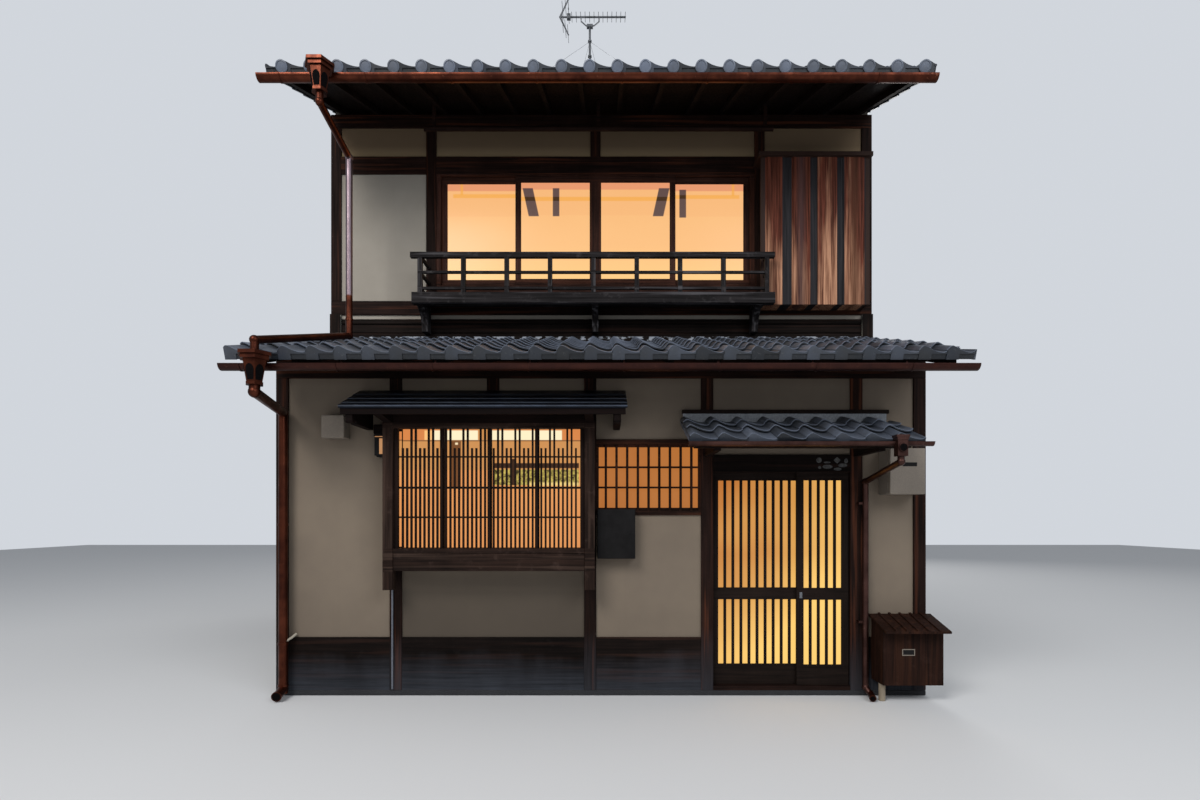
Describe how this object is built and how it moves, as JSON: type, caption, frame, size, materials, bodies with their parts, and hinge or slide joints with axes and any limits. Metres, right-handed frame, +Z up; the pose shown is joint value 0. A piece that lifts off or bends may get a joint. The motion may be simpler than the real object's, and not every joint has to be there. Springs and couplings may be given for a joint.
{
  "type": "machiya townhouse",
  "caption": "Two-storey timber townhouse from a row, with tiled roofs, lattice bay window, sliding entrance doors, balcony and shutter case",
  "frame": {"origin": "On the ground under the foundation, in the middle of the ground-floor front face", "axes": "+X runs right along the street front, +Y from the street to the back, +Z is up"},
  "size_m": [6.348, 8.8948, 10.0896],
  "materials": {
    "dark_timber": "stained dark brown softwood, dull",
    "weathered_timber": "old dark boards worn grey towards the foot",
    "shutter_boards": "red-brown boards with pale streaks where the stain has worn off",
    "cabinet_wood": "red-brown stained cabinet boards",
    "plaster": "smooth warm beige clay plaster, matte",
    "stone": "grey stone and mortar, matte",
    "roof_tile": "smoked grey clay tiles with a low sheen",
    "metal_roof": "folded sheet metal, dark blue-grey paint",
    "copper": "copper sheet with a brown patina",
    "lit_glass": "frosted glass with warm light behind it",
    "black_metal": "matte black paint",
    "pale_plastic": "pale grey moulded plastic",
    "antenna_metal": "dull aluminium tube"
  },
  "bodies": {
    "house": {"foundation": "stone", "ground_floor": "stone", "upper_floor": "dark_timber", "left_party_wall": "plaster", "right_party_wall": "plaster", "ground_posts": "dark_timber", "upper_posts": "dark_timber", "wall_beams": "dark_timber", "lower_wall_panels": "plaster", "wainscot": "weathered_timber", "upper_wall_panels": "plaster", "back_wall_panels": "plaster", "back_windows": "dark_timber", "window_glass": "lit_glass", "bay_frame": "weathered_timber", "bay_lattice": "dark_timber", "bay_roof": "metal_roof", "high_window": "dark_timber", "door_frame": "dark_timber", "entrance_roof_frame": "dark_timber", "entrance_roof_tiles": "roof_tile", "entrance_gutter": "copper", "lower_roof_frame": "dark_timber", "lower_roof_tiles": "roof_tile", "eave_gutters": "copper", "lower_downpipe": "copper", "upper_window_frame": "dark_timber", "upper_window_sashes": "dark_timber", "shutter_case": "shutter_boards", "balcony": "weathered_timber", "balcony_rail": "weathered_timber", "screen_rail": "dark_timber", "main_roof_frame": "dark_timber", "main_roof_tiles": "roof_tile", "main_ridge": "roof_tile", "upper_downpipe": "copper", "mailbox": "black_metal", "service_boxes": "pale_plastic", "meter_cabinet": "cabinet_wood", "wall_lamp": "black_metal", "antenna": "antenna_metal"},
    "left_door": {"left_door_leaf": "dark_timber", "left_door_glass": "lit_glass"},
    "right_door": {"right_door_leaf": "dark_timber", "right_door_glass": "lit_glass"}
  },
  "joints": [
    {"name": "left_door_slide", "type": "slide", "parent": "house", "child": "left_door", "axis": [1, 0, 0], "range_m": [0, 0.43]},
    {"name": "right_door_slide", "type": "slide", "parent": "house", "child": "right_door", "axis": [-1, 0, 0], "range_m": [0, 0.78]}
  ]
}
